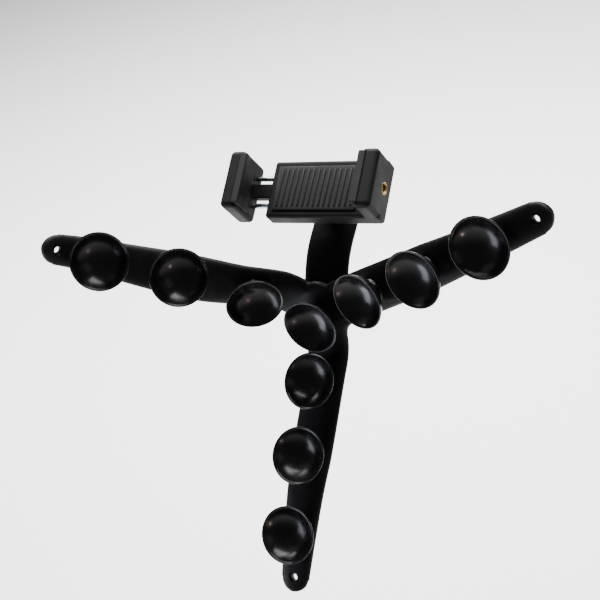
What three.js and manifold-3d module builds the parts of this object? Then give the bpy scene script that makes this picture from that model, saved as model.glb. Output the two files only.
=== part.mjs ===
// A car phone mount: three bendable arms of suction cups around a hub, a bendable
// neck, and a sprung clamp on a threaded stud. Millimetres, +Z up, cups face -Y.

import * as THREE from 'three';
import { mergeVertices } from 'three/addons/utils/BufferGeometryUtils.js';
import { RoundedBoxGeometry } from 'three/addons/geometries/RoundedBoxGeometry.js';
import Module from 'manifold-3d';

const wasm = await Module();
wasm.setup();

// Driving dimensions

const clearance = 0.3;
const degree = Math.PI / 180;

const cup = {
  rimRadius: 16.5,
  height: 17.3, // rim plane to the strap's middle
  wall: 0.7, // at the rim
  footRadius: 7.5,
  stemRadius: 3.7,
  stemEnd: 1.4, // above the strap's middle
  floor: 2.1, // bowl floor above the foot
};

const strap = {
  thickness: 8,
  tipThickness: 6.6,
  hubWidth: 27.6,
  cupWidths: [26.7, 25.6, 20.4],
  tipWidth: 16.6,
  neckWidth: 27.6,
  bendLimit: 48, // the cut end clears the rounded one up to this angle
  neckBendLimit: 80,
};

const hubReach = 24.5; // hub centre to the first hinge of each arm
const firstPitch = 46.3; // hub cup to the first cup
const cupPitch = 43.2;
const tipHole = { distance: 26.4, radius: 1.9, edge: 8.5 };
const tipCurl = { start: 7, length: 13 };
const hubDiscRadius = 21;

const wire = { radius: 1.2, depth: 1.5, endSpace: 9 };

// Bends are away from the cups when positive, one for each hinge from the hub out
const arms = [
  { name: 'left', azimuth: 150, bends: [-36, 8.5, 4], twists: [7.5, 29, -2], curl: -29 },
  { name: 'right', azimuth: 30, bends: [-11, 5, 8], twists: [-8.5, 1, -4.5], curl: 1 },
  { name: 'lower', azimuth: -90, bends: [-40.5, -1, 7.5], twists: [4, -4, -2], curl: 1 },
];
const neck = {
  rootLean: 26, // of the root behind the hub, from the arms' plane
  rootStart: -6, // where the root's middle line crosses that plane, from the hub's centre
  rootReach: 18.4,
  bends: [0, 25.7],
  lowerLength: 20.5,
  upperLength: 27,
  endReach: 13.4,
};

const jaw = {
  opening: 71.4,
  hook: 1,
  thickness: 10.8,
  height: 35,
  front: -9, // clamp depth is counted from the middle of the phone
  edgeRadius: 2.6,
};
const phoneThickness = 8.1;
const pad = { thickness: 1.7, stripWidth: 4.3, stripDepth: 3.1, proud: 0.6, height: 31 };
const base = {
  closedOpening: 60,
  front: 6,
  back: 14,
  wall: 2,
  cavityHeight: 24,
  cavityStop: 2.6, // wall left behind the rods' channels
  edgeRadius: 1.6,
};
const cover = { thickness: 2, bossRadius: 7, bossHeight: 4 };
const rod = { radius: 1.5, spread: 8.5, level: 11, headRadius: 2.8, headLength: 2, end: 30 };
const tongue = { height: 9, thickness: 4.8, end: 4 };
const spring = { wireRadius: 0.4, slack: 0.4, turns: 10 }; // slack is around the rod
const coilRadius = rod.radius + spring.slack + spring.wireRadius;
const insert = { radius: 3.8, bore: 2.8, length: 6, sideLevel: 7 };
const screw = { radius: 1, headRadius: 2, headLength: 1.2, length: 6.4, spread: 14.8 };
const screwColumns = [-18.5, 28];

const standoff = 37.4; // middle of the phone to the middle of the neck's strap
const swivel = -3.9;
const stud = { radius: 3.1, tipRadius: 2.5, tipLength: 4.6, flangeRadius: 8, flangeLength: 2.6 };
const washer = { radius: 8, thickness: 1 };
const hexNut = { radius: 6.4, thickness: 2.8 };
const knob = { radius: 10, lobes: 10, lobeDepth: 0.9 };
const knobBore = stud.radius + clearance;

// Materials

const finishes = {
  silicone: { color: 0x17171a, roughness: 0.5, metalness: 0 },
  cupSilicone: { color: 0x121214, roughness: 0.25, metalness: 0 },
  plastic: { color: 0x1d1d1f, roughness: 0.55, metalness: 0 },
  rubber: { color: 0x161618, roughness: 0.7, metalness: 0 },
  steel: { color: 0xb4b6b8, roughness: 0.3, metalness: 1 },
  brass: { color: 0xb98a45, roughness: 0.3, metalness: 1 },
};

// Solids

function toSolid(geometry) {
  const plain = geometry.clone();
  plain.deleteAttribute('normal');
  plain.deleteAttribute('uv');
  const merged = mergeVertices(plain, 1e-4);
  return new wasm.Manifold(new wasm.Mesh({
    numProp: 3,
    vertProperties: new Float32Array(merged.attributes.position.array),
    triVerts: new Uint32Array(merged.index.array),
  }));
}

function toGeometry(solid) {
  const mesh = solid.getMesh();
  const geometry = new THREE.BufferGeometry();
  geometry.setAttribute('position', new THREE.BufferAttribute(mesh.vertProperties, 3));
  geometry.setIndex(new THREE.BufferAttribute(mesh.triVerts, 1));
  geometry.computeVertexNormals();
  return geometry;
}

function piece(name, finish, shape) {
  const geometry = shape.isBufferGeometry ? shape : toGeometry(shape);
  const mesh = new THREE.Mesh(geometry, new THREE.MeshStandardMaterial(finishes[finish]));
  mesh.name = name;
  return mesh;
}

function rod3(axis, radius, from, to, x = 0, y = 0, z = 0, sides = 20) {
  const geometry = new THREE.CylinderGeometry(radius, radius, to - from, sides);
  geometry.translate(0, (from + to) / 2, 0);
  if (axis === 'x') geometry.rotateZ(-Math.PI / 2);
  if (axis === 'z') geometry.rotateX(Math.PI / 2);
  return toSolid(geometry.translate(x, y, z));
}

function block(x, y, z) {
  const geometry = new THREE.BoxGeometry(x[1] - x[0], y[1] - y[0], z[1] - z[0]);
  geometry.translate((x[0] + x[1]) / 2, (y[0] + y[1]) / 2, (z[0] + z[1]) / 2);
  return toSolid(geometry);
}

function roundedBlock(x, y, z, radius) {
  const geometry = new RoundedBoxGeometry(x[1] - x[0], y[1] - y[0], z[1] - z[0], 2, radius);
  geometry.translate((x[0] + x[1]) / 2, (y[0] + y[1]) / 2, (z[0] + z[1]) / 2);
  return toSolid(geometry);
}

// A turned shape about Z from [radius, height] points
function turned(points, segments) {
  const profile = points.map(([radius, height]) => new THREE.Vector2(radius, height));
  return new THREE.LatheGeometry(profile, segments).rotateX(Math.PI / 2);
}

// A rounded bar through sections of {x, width, thickness, lean}, with lean in degrees
function bar(sections, points = 7, z = 0) {
  const outline = new THREE.Shape();
  outline.absellipse(0, 0, 0.5, 0.5, 0, 2 * Math.PI);
  const last = sections.length - 1;
  const geometry = new THREE.ExtrudeGeometry(outline, {
    depth: 1,
    steps: last,
    curveSegments: points,
    bevelEnabled: false,
  });
  const position = geometry.attributes.position;
  for (let i = 0; i < position.count; i += 1) {
    const section = sections[Math.round(position.getZ(i) * last)];
    const across = position.getX(i) * section.width;
    const up = position.getY(i) * section.thickness;
    const lean = (section.lean ?? 0) * degree;
    position.setXYZ(
      i,
      section.x,
      across * Math.cos(lean) - up * Math.sin(lean),
      across * Math.sin(lean) + up * Math.cos(lean) + z,
    );
  }
  return geometry;
}

// Bends what lies past start along X, away from the cups for a positive angle
function curled(geometry, angle) {
  const turnPerLength = (angle * degree) / tipCurl.length;
  const position = geometry.attributes.position;
  for (let i = 0; i < position.count; i += 1) {
    const along = position.getX(i) - tipCurl.start;
    if (along <= 0) continue;
    const bent = Math.min(along, tipCurl.length);
    const turn = bent * turnPerLength;
    const x = Math.sin(turn) / turnPerLength + (along - bent) * Math.cos(turn);
    const z = (Math.cos(turn) - 1) / turnPerLength - (along - bent) * Math.sin(turn);
    const up = position.getZ(i);
    position.setX(i, tipCurl.start + x + up * Math.sin(turn));
    position.setZ(i, z + up * Math.cos(turn));
  }
  return geometry;
}

// Straps

const halfStrap = strap.thickness / 2;
const stationDistances = [0, firstPitch, firstPitch + cupPitch, firstPitch + 2 * cupPitch];
const tipDistance = stationDistances[3] + tipHole.distance + tipHole.edge;

function armWidth(distance) {
  const stops = [...stationDistances, tipDistance];
  const widths = [strap.hubWidth, ...strap.cupWidths, strap.tipWidth];
  const i = Math.max(1, stops.findIndex((stop) => stop >= distance - 1e-6));
  const share = (distance - stops[i - 1]) / (stops[i] - stops[i - 1]);
  return THREE.MathUtils.lerp(widths[i - 1], widths[i], share);
}

function spread(from, to, count) {
  return Array.from({ length: count }, (_, i) => from + ((to - from) * i) / (count - 1));
}

// Removes all past the hinge at x but a rounded end on the hinge's axis
function roundEnd(solid, x) {
  const past = block([x, x + strap.thickness], [-40, 40], [-10, 10]);
  return solid.subtract(past.subtract(rod3('y', halfStrap, -41, 41, x, 0, 0, 20)));
}

// Hollows the end that turns around the neighbour's rounded end, whose axis leans
function hollowEnd(solid, x, lean) {
  const geometry = new THREE.CylinderGeometry(halfStrap + clearance, halfStrap + clearance, 80, 20);
  geometry.rotateX(lean * degree).translate(x, 0, 0);
  return solid.subtract(toSolid(geometry));
}

function cupSocket() {
  return rod3('z', cup.stemRadius + clearance, cup.stemEnd - clearance, strap.thickness);
}

function wireBar(from, to, radius, count = 2) {
  const size = 2 * radius;
  const sections = spread(from, to, count).map((x) => ({ x, width: size, thickness: size }));
  return bar(sections, 4, -wire.depth);
}

function cupShape() {
  const foot = halfStrap + clearance + 0.1;
  const bowl = cup.height - foot;
  const floor = foot + cup.floor;
  const inner = cup.rimRadius - cup.wall;
  const outerWall = [0.3, 0.56, 0.8].map((share) => {
    const radius = THREE.MathUtils.lerp(cup.footRadius, cup.rimRadius, Math.sin((share * Math.PI) / 2));
    return [radius, foot + bowl * (1 - Math.cos((share * Math.PI) / 2)) + 0.3];
  });
  const innerWall = [0.82, 0.6, 0.34].map((share) => [
    inner * Math.sin((share * Math.PI) / 2),
    floor + (cup.height - floor) * (1 - Math.cos((share * Math.PI) / 2)),
  ]);
  return turned([
    [0, cup.stemEnd],
    [cup.stemRadius, cup.stemEnd],
    [cup.stemRadius, foot],
    [cup.footRadius, foot],
    ...outerWall,
    [cup.rimRadius, cup.height],
    [inner, cup.height],
    ...innerWall,
    [0, floor],
  ], 18);
}

function armSegment(index, before, after, twist, curl) {
  const centre = stationDistances[index];
  const outer = index === 3;
  const startGap = (halfStrap + clearance) * Math.sin(strap.bendLimit * degree);
  const end = outer ? tipHole.distance + tipHole.edge : after + halfStrap;
  const straightEnd = outer ? end - strap.tipWidth / 2 : end;
  const places = spread(-before + startGap, straightEnd, outer ? 8 : 5);
  const thicknessAt = (x) => (outer
    ? THREE.MathUtils.mapLinear(Math.max(x, 0), 0, end, strap.thickness, strap.tipThickness)
    : strap.thickness);
  const sections = places.map((x) => ({
    x,
    width: armWidth(centre + x),
    thickness: thicknessAt(x),
    lean: -twist * Math.max(0, -x / before),
  }));
  if (outer) {
    for (const angle of [35, 62, 85]) {
      const x = straightEnd + (end - straightEnd) * Math.sin(angle * degree);
      const share = Math.cos(angle * degree);
      sections.push({
        x,
        width: strap.tipWidth * share,
        thickness: thicknessAt(x) * (0.45 + 0.55 * share),
      });
    }
  }
  const shape = (geometry) => toSolid(outer ? curled(geometry, curl) : geometry);
  const boreEnd = outer ? end - wire.endSpace - tipHole.edge : end;
  const wireCount = outer ? 7 : 2;
  let solid = hollowEnd(shape(bar(sections)), -before, -twist);
  solid = solid.subtract(shape(wireBar(-before, boreEnd + clearance, wire.radius + clearance, wireCount)));
  if (outer) {
    const hole = new THREE.CylinderGeometry(tipHole.radius, tipHole.radius, 20, 16);
    hole.rotateX(Math.PI / 2).translate(tipHole.distance, 0, 0);
    solid = solid.subtract(shape(hole));
  } else {
    solid = roundEnd(solid, after);
  }
  const core = shape(wireBar(-before + startGap + 1.6, outer ? boreEnd : after + 1.5, wire.radius, wireCount));
  return { strap: solid.subtract(cupSocket()), core };
}

function buildArm(arm) {
  const root = new THREE.Group();
  const x = new THREE.Vector3(Math.cos(arm.azimuth * degree), 0, Math.sin(arm.azimuth * degree));
  const z = new THREE.Vector3(0, -1, 0);
  root.quaternion.setFromRotationMatrix(
    new THREE.Matrix4().makeBasis(x, z.clone().cross(x), z),
  );
  root.position.set(0, cup.height, 0);
  let parent = root;
  let reach = hubReach;
  for (let index = 1; index <= 3; index += 1) {
    const place = ['inner', 'middle', 'outer'][index - 1];
    const before = index === 1 ? firstPitch - hubReach : cupPitch / 2;
    const after = cupPitch / 2;
    const hinge = new THREE.Group();
    hinge.name = `${arm.name}_${place}_hinge`;
    hinge.position.x = reach;
    hinge.rotation.set(arm.twists[index - 1] * degree, arm.bends[index - 1] * degree, 0, 'YXZ');
    const station = new THREE.Group();
    station.position.x = before;
    const shapes = armSegment(index, before, after, arm.twists[index - 1], arm.curl);
    station.add(piece(`${arm.name}_${place}_arm`, 'silicone', shapes.strap));
    station.add(piece(`${arm.name}_${place}_cup`, 'cupSilicone', cupShape()));
    station.add(piece(`${arm.name}_${place}_core_wire`, 'steel', shapes.core));
    hinge.add(station);
    parent.add(hinge);
    parent = station;
    reach = after;
  }
  return root;
}

// Hub

function spoke(azimuth, solid) {
  return solid.rotate([0, 0, azimuth]);
}

// Leans up and away from the cups, out of the hub's back
function neckRoot(solid) {
  return spoke(90, solid).rotate([-neck.rootLean, 0, 0]).translate([0, neck.rootStart, 0]);
}

function buildHub() {
  const hub = new THREE.Group();
  hub.quaternion.setFromRotationMatrix(new THREE.Matrix4().makeBasis(
    new THREE.Vector3(1, 0, 0),
    new THREE.Vector3(0, 0, 1),
    new THREE.Vector3(0, -1, 0),
  ));
  hub.position.set(0, cup.height, 0);
  const disc = turned([
    [0, -halfStrap],
    [hubDiscRadius * 0.6, -halfStrap],
    [hubDiscRadius * 0.9, -halfStrap * 0.6],
    [hubDiscRadius, 0],
    [hubDiscRadius * 0.9, halfStrap * 0.6],
    [hubDiscRadius * 0.6, halfStrap],
    [0, halfStrap],
  ], 24);
  let body = toSolid(disc);
  let cores = rod3('z', 3, -wire.depth - wire.radius, -wire.depth + wire.radius);
  let bores = rod3(
    'z',
    3 + clearance,
    -wire.depth - wire.radius - clearance,
    -wire.depth + wire.radius + clearance,
  );
  for (const { azimuth } of arms) {
    const sections = [0, 12, hubReach + halfStrap].map((x) => ({
      x,
      width: x ? armWidth(hubReach) : strap.hubWidth,
      thickness: strap.thickness,
    }));
    body = body.add(spoke(azimuth, roundEnd(toSolid(bar(sections)), hubReach)));
    cores = cores.add(spoke(azimuth, toSolid(wireBar(0, hubReach + 1.5, wire.radius))));
    bores = bores.add(spoke(azimuth, toSolid(wireBar(0, hubReach + 6, wire.radius + clearance))));
  }
  const rootSections = [0, neck.rootReach + halfStrap].map((x) => ({
    x,
    width: strap.neckWidth,
    thickness: strap.thickness,
  }));
  body = body.add(neckRoot(roundEnd(toSolid(bar(rootSections)), neck.rootReach)));
  cores = cores.add(neckRoot(toSolid(wireBar(0.5, neck.rootReach + 1.5, wire.radius))));
  bores = bores.add(neckRoot(toSolid(wireBar(0, neck.rootReach + 6, wire.radius + clearance))));
  hub.add(piece('hub_body', 'silicone', body.subtract(bores).subtract(cupSocket())));
  hub.add(piece('hub_cup', 'cupSilicone', cupShape()));
  hub.add(piece('hub_core_wire', 'steel', cores));
  return hub;
}

// Neck, with its stud, washer, nut and lock knob

function neckSegment(from, to, roundTip) {
  const startGap = (halfStrap + clearance) * Math.sin(strap.neckBendLimit * degree);
  const end = roundTip ? to : to + halfStrap;
  const radius = strap.neckWidth / 2;
  const straightEnd = roundTip ? end - radius : end;
  const sections = spread(from + startGap, straightEnd, 3).map((x) => ({
    x,
    width: strap.neckWidth,
    thickness: strap.thickness,
  }));
  if (roundTip) {
    for (const angle of [30, 58, 84]) {
      const share = Math.cos(angle * degree);
      sections.push({
        x: straightEnd + radius * Math.sin(angle * degree),
        width: strap.neckWidth * share,
        thickness: strap.thickness * (0.4 + 0.6 * share),
      });
    }
  }
  const solid = hollowEnd(toSolid(bar(sections)), from, 0);
  const boreEnd = roundTip ? -stud.flangeRadius : end + 1;
  const coreEnd = roundTip ? boreEnd - 1 : to + 1.5;
  const bore = toSolid(wireBar(from, boreEnd, wire.radius + clearance));
  return {
    strap: roundTip ? solid.subtract(bore) : roundEnd(solid, to).subtract(bore),
    core: toSolid(wireBar(from + startGap + 1.2, coreEnd, wire.radius)),
  };
}

const washerBase = halfStrap + clearance;
const nutBase = washerBase + washer.thickness + clearance;
const knobBase = nutBase + hexNut.thickness + clearance;
const bossFace = standoff - base.back - clearance - cover.thickness - cover.bossHeight;
const knobEnd = bossFace - clearance;

function knobShape() {
  const outline = new THREE.Shape();
  const steps = knob.lobes * 4;
  for (let i = 0; i < steps; i += 1) {
    const turn = (i / steps) * 2 * Math.PI;
    const radius = knob.radius - knob.lobeDepth * (i % 4 === 0 ? 1 : 0);
    outline[i ? 'lineTo' : 'moveTo'](radius * Math.cos(turn), radius * Math.sin(turn));
  }
  const geometry = new THREE.ExtrudeGeometry(outline, {
    depth: knobEnd - knobBase - 1,
    bevelSize: 0.5,
    bevelThickness: 0.5,
    bevelOffset: -0.5,
    bevelSegments: 1,
  });
  const grip = toSolid(geometry.translate(0, 0, knobBase + 0.5));
  return grip.subtract(rod3('z', knobBore, 0, standoff));
}

function buildNeck() {
  const root = new THREE.Group();
  const lean = neck.rootLean * degree;
  root.quaternion.setFromRotationMatrix(new THREE.Matrix4().makeBasis(
    new THREE.Vector3(0, Math.sin(lean), Math.cos(lean)),
    new THREE.Vector3(-1, 0, 0),
    new THREE.Vector3(0, -Math.cos(lean), Math.sin(lean)),
  ));
  root.position.set(0, cup.height, neck.rootStart);
  const lower = new THREE.Group();
  lower.name = 'neck_lower_hinge';
  lower.position.x = neck.rootReach;
  lower.rotation.y = neck.bends[0] * degree;
  const lowerShapes = neckSegment(0, neck.lowerLength, false);
  lower.add(piece('neck_lower', 'silicone', lowerShapes.strap));
  lower.add(piece('neck_lower_core_wire', 'steel', lowerShapes.core));
  root.add(lower);

  const upper = new THREE.Group();
  upper.name = 'neck_upper_hinge';
  upper.position.x = neck.lowerLength;
  upper.rotation.y = neck.bends[1] * degree;
  lower.add(upper);

  const end = new THREE.Group();
  end.name = 'neck_end';
  end.position.x = neck.upperLength;
  upper.add(end);
  const upperShapes = neckSegment(-neck.upperLength, neck.endReach, true);
  const hole = rod3('z', stud.radius + clearance, -10, 10);
  end.add(piece('neck_upper', 'silicone', upperShapes.strap.subtract(hole)));
  end.add(piece('neck_upper_core_wire', 'steel', upperShapes.core));
  end.add(piece('neck_stud', 'steel', turned([
    [0, -halfStrap - clearance - stud.flangeLength],
    [stud.flangeRadius, -halfStrap - clearance - stud.flangeLength],
    [stud.flangeRadius, -halfStrap - clearance],
    [stud.radius, -halfStrap - clearance],
    [stud.radius, bossFace - 0.4],
    [stud.tipRadius, bossFace],
    [stud.tipRadius, bossFace + stud.tipLength],
    [0, bossFace + stud.tipLength],
  ], 20)));
  const studBore = rod3('z', stud.radius + clearance, 0, standoff);
  end.add(piece(
    'neck_washer',
    'steel',
    rod3('z', washer.radius, washerBase, washerBase + washer.thickness, 0, 0, 0, 24).subtract(studBore),
  ));
  end.add(piece(
    'stud_nut',
    'steel',
    rod3('z', hexNut.radius, nutBase, nutBase + hexNut.thickness, 0, 0, 0, 6).subtract(studBore),
  ));
  end.add(piece('lock_knob', 'plastic', knobShape()));
  end.add(buildClamp());
  return root;
}

// Clamp. X runs across the phone, Y away from its back, Z along its length

const jawIn = jaw.opening / 2;
const jawOut = jawIn + jaw.thickness;
const halfJaw = jaw.height / 2;
const baseLeft = jawIn - base.closedOpening;
const baseMiddle = jawIn - base.closedOpening / 2;
const coverFront = base.back + clearance;
const coverBack = coverFront + cover.thickness;
const bossBack = coverBack + cover.bossHeight;

// One jaw's shell on the right, with the recess that its pad sits in
function jawShell(back) {
  const shell = roundedBlock(
    [jawIn + clearance, jawOut],
    [jaw.front, back + jaw.edgeRadius],
    [-halfJaw, halfJaw],
    jaw.edgeRadius,
  ).subtract(block([jawIn - 5, jawOut + 5], [back, back + 10], [-halfJaw - 1, halfJaw + 1]));
  const end = pad.height / 2 + clearance;
  const slab = block(
    [jawIn - 5, jawIn + pad.thickness + clearance],
    [jaw.front - 1, base.front - clearance],
    [-end, end],
  );
  const strip = block(
    [jawIn - 5, jawIn - jaw.hook + pad.stripWidth + clearance],
    [jaw.front - 1, jaw.front - pad.proud + pad.stripDepth + clearance],
    [-end, end],
  );
  return shell.subtract(slab).subtract(strip);
}

function jawPad() {
  const front = jaw.front - pad.proud;
  const outline = new THREE.Shape([
    [jawIn, base.front - 2 * clearance],
    [jawIn, -phoneThickness / 2 - 1],
    [jawIn - jaw.hook, -phoneThickness / 2 - 1.6],
    [jawIn - jaw.hook, front + 0.8],
    [jawIn - jaw.hook + 0.8, front],
    [jawIn - jaw.hook + pad.stripWidth - 0.8, front],
    [jawIn - jaw.hook + pad.stripWidth, front + 0.8],
    [jawIn - jaw.hook + pad.stripWidth, front + pad.stripDepth],
    [jawIn + pad.thickness, front + pad.stripDepth],
    [jawIn + pad.thickness, base.front - 2 * clearance],
  ].map(([x, y]) => new THREE.Vector2(x, y)));
  const geometry = new THREE.ExtrudeGeometry(outline, { depth: pad.height, bevelEnabled: false });
  return toSolid(geometry.translate(0, 0, -pad.height / 2));
}

function insertShape() {
  const rim = insert.bore + 0.4;
  return turned([
    [insert.bore, 0],
    [insert.radius, 0],
    [insert.radius, insert.length],
    [rim, insert.length],
    [insert.bore, insert.length - 0.5],
    [insert.bore, 0],
  ], 18);
}

function clampBody() {
  const halfCavity = base.cavityHeight / 2;
  const insertRib = insert.radius + clearance + 1;
  const channelEnd = jawOut - base.cavityStop;
  let body = roundedBlock(
    [baseLeft, jawOut],
    [base.front, base.back + 3],
    [-halfJaw, halfJaw],
    base.edgeRadius,
  ).subtract(block([baseLeft - 1, jawOut + 1], [base.back, 20], [-halfJaw - 1, halfJaw + 1]));
  body = body.add(jawShell(base.back));
  const cavity = block(
    [baseLeft + base.wall + 1, jawIn - 2.5],
    [base.front + base.wall, base.back + 1],
    [-halfCavity, halfCavity],
  );
  body = body.subtract(cavity);
  for (const side of [-1, 1]) {
    const channel = [side * insertRib, side * halfCavity].sort((a, b) => a - b);
    body = body.subtract(block(
      [jawIn - 3, channelEnd],
      [base.front + base.wall, base.back + 1],
      channel,
    ));
    const bore = rod3(
      'x',
      rod.radius + clearance,
      baseLeft - 1,
      baseLeft + base.wall + 2,
      0,
      rod.level,
      side * rod.spread,
    );
    body = body.subtract(bore);
    for (const x of screwColumns) {
      const pilot = rod3('y', screw.radius + clearance, coverBack - screw.length - 0.5, 20, x, 0,
        side * screw.spread, 12);
      body = body.subtract(pilot);
    }
  }
  const slot = block(
    [baseLeft - 1, baseLeft + base.wall + 2],
    [rod.level - tongue.thickness / 2 - clearance, rod.level + tongue.thickness / 2 + clearance],
    [-tongue.height / 2 - clearance, tongue.height / 2 + clearance],
  );
  const insertHole = rod3(
    'x',
    insert.radius + clearance,
    jawOut - insert.length - clearance,
    jawOut + 1,
    0,
    insert.sideLevel,
    0,
    24,
  );
  return body.subtract(slot).subtract(insertHole);
}

function rearCover() {
  let plate = roundedBlock(
    [baseLeft, jawOut],
    [coverFront - 3, coverBack],
    [-halfJaw, halfJaw],
    base.edgeRadius,
  ).subtract(block([baseLeft - 1, jawOut + 1], [0, coverFront], [-halfJaw - 1, halfJaw + 1]));
  plate = plate.add(rod3('y', cover.bossRadius, coverFront, bossBack, baseMiddle, 0, 0, 28));
  plate = plate.subtract(rod3(
    'y',
    insert.radius + clearance,
    0,
    bossBack + 1,
    baseMiddle,
    0,
    0,
    24,
  ));
  for (const side of [-1, 1]) {
    for (const x of screwColumns) {
      const z = side * screw.spread;
      plate = plate.subtract(rod3('y', screw.radius + clearance, 0, 30, x, 0, z, 12));
      plate = plate.subtract(rod3(
        'y',
        screw.headRadius + clearance,
        coverBack - screw.headLength - clearance,
        30,
        x,
        0,
        z,
        16,
      ));
    }
  }
  return plate;
}

function movingJaw() {
  const mirrored = jawShell(coverBack - jaw.edgeRadius).add(roundedBlock(
    [jawIn + clearance, jawOut],
    [base.front, coverBack],
    [-halfJaw, halfJaw],
    jaw.edgeRadius,
  ));
  let shell = mirrored.mirror([1, 0, 0]);
  shell = shell.add(block(
    [-jawIn - 2, tongue.end],
    [rod.level - tongue.thickness / 2, rod.level + tongue.thickness / 2],
    [-tongue.height / 2, tongue.height / 2],
  ));
  for (const side of [-1, 1]) {
    const socket = rod3('x', rod.radius + clearance, -jawOut + 3, 0, 0, rod.level, side * rod.spread);
    shell = shell.subtract(socket);
  }
  return shell;
}

function guideRod(z) {
  const shaft = rod3('x', rod.radius, -jawOut + 3 + clearance, rod.end, 0, rod.level, z, 16);
  const head = rod3('x', rod.headRadius, rod.end - rod.headLength, rod.end, 0, rod.level, z, 16);
  return shaft.add(head);
}

function springShape(z) {
  const from = baseLeft + base.wall + 1 + clearance + spring.wireRadius;
  const to = rod.end - rod.headLength - clearance - spring.wireRadius;
  class Helix extends THREE.Curve {
    getPoint(t, target = new THREE.Vector3()) {
      const turn = t * spring.turns * 2 * Math.PI;
      return target.set(
        THREE.MathUtils.lerp(from, to, t),
        rod.level + coilRadius * Math.cos(turn),
        z + coilRadius * Math.sin(turn),
      );
    }
  }
  const section = new THREE.Shape();
  section.absellipse(0, 0, spring.wireRadius, spring.wireRadius, 0, 2 * Math.PI);
  return new THREE.ExtrudeGeometry(section, {
    steps: spring.turns * 7,
    curveSegments: 2,
    extrudePath: new Helix(),
  });
}

function screwShape() {
  return turned([
    [0, 0],
    [screw.radius, 0],
    [screw.radius, screw.length - screw.headLength],
    [screw.headRadius, screw.length - screw.headLength],
    [screw.headRadius, screw.length],
    [0, screw.length],
  ], 12);
}

function buildClamp() {
  const turn = new THREE.Group();
  turn.name = 'clamp_swivel';
  turn.quaternion.setFromRotationMatrix(new THREE.Matrix4().makeBasis(
    new THREE.Vector3(0, -1, 0),
    new THREE.Vector3(0, 0, -1),
    new THREE.Vector3(1, 0, 0),
  ));
  turn.rotateY(swivel * degree);
  const clamp = new THREE.Group();
  clamp.name = 'clamp';
  clamp.position.set(-baseMiddle, -standoff, 0);
  turn.add(clamp);

  clamp.add(piece('clamp_body', 'plastic', clampBody()));
  clamp.add(piece('rear_cover', 'plastic', rearCover()));
  clamp.add(piece('fixed_jaw_pad', 'rubber', jawPad()));
  clamp.add(piece('moving_jaw', 'plastic', movingJaw()));
  clamp.add(piece('moving_jaw_pad', 'rubber', jawPad().mirror([1, 0, 0])));
  const backPadFront = phoneThickness / 2 + clearance;
  clamp.add(piece('back_pad', 'rubber', block(
    [baseLeft + 4, jawIn - 4],
    [backPadFront, base.front - clearance],
    [-halfJaw + 4, halfJaw - 4],
  )));
  for (const [name, side] of [['lower', -1], ['upper', 1]]) {
    clamp.add(piece(`${name}_guide_rod`, 'steel', guideRod(side * rod.spread)));
    clamp.add(piece(`${name}_spring`, 'steel', springShape(side * rod.spread)));
    for (const [column, x] of [['left', screwColumns[0]], ['right', screwColumns[1]]]) {
      const mesh = piece(`cover_screw_${name}_${column}`, 'steel', screwShape());
      mesh.rotation.x = -Math.PI / 2;
      mesh.position.set(x, coverBack - screw.length, side * screw.spread);
      clamp.add(mesh);
    }
  }
  const sideInsert = piece('side_insert', 'brass', insertShape());
  sideInsert.rotation.y = Math.PI / 2;
  sideInsert.position.set(jawOut - insert.length, insert.sideLevel, 0);
  clamp.add(sideInsert);
  const rearInsert = piece('rear_insert', 'brass', insertShape());
  rearInsert.rotation.x = -Math.PI / 2;
  rearInsert.position.set(baseMiddle, bossBack - insert.length, 0);
  clamp.add(rearInsert);
  return turn;
}

const mount = new THREE.Group();
mount.add(buildHub());
for (const arm of arms) mount.add(buildArm(arm));
mount.add(buildNeck());

export default mount;
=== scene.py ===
import math

import bmesh
import bpy
from mathutils import Matrix, Vector


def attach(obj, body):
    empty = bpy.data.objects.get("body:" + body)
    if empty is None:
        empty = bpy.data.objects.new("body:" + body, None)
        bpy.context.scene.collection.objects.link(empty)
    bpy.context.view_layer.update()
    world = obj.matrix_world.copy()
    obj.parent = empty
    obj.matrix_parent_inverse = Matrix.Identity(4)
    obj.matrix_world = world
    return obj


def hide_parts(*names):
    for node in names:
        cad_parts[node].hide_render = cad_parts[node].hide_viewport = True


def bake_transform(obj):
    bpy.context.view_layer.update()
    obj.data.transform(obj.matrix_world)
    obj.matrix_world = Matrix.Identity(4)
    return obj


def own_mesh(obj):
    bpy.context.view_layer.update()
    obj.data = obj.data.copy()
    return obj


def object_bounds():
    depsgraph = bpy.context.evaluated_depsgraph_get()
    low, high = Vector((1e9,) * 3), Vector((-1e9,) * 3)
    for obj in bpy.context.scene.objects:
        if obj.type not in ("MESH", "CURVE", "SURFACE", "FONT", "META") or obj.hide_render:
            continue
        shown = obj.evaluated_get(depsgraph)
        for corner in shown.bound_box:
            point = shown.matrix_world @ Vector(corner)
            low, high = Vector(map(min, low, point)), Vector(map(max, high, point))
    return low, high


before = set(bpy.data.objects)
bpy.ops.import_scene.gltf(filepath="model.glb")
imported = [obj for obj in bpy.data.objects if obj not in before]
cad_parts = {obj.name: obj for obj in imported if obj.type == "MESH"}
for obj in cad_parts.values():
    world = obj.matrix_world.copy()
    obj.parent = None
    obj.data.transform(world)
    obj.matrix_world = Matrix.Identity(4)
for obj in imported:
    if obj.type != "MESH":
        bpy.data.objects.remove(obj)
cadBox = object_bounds()
mm = 0.001

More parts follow.
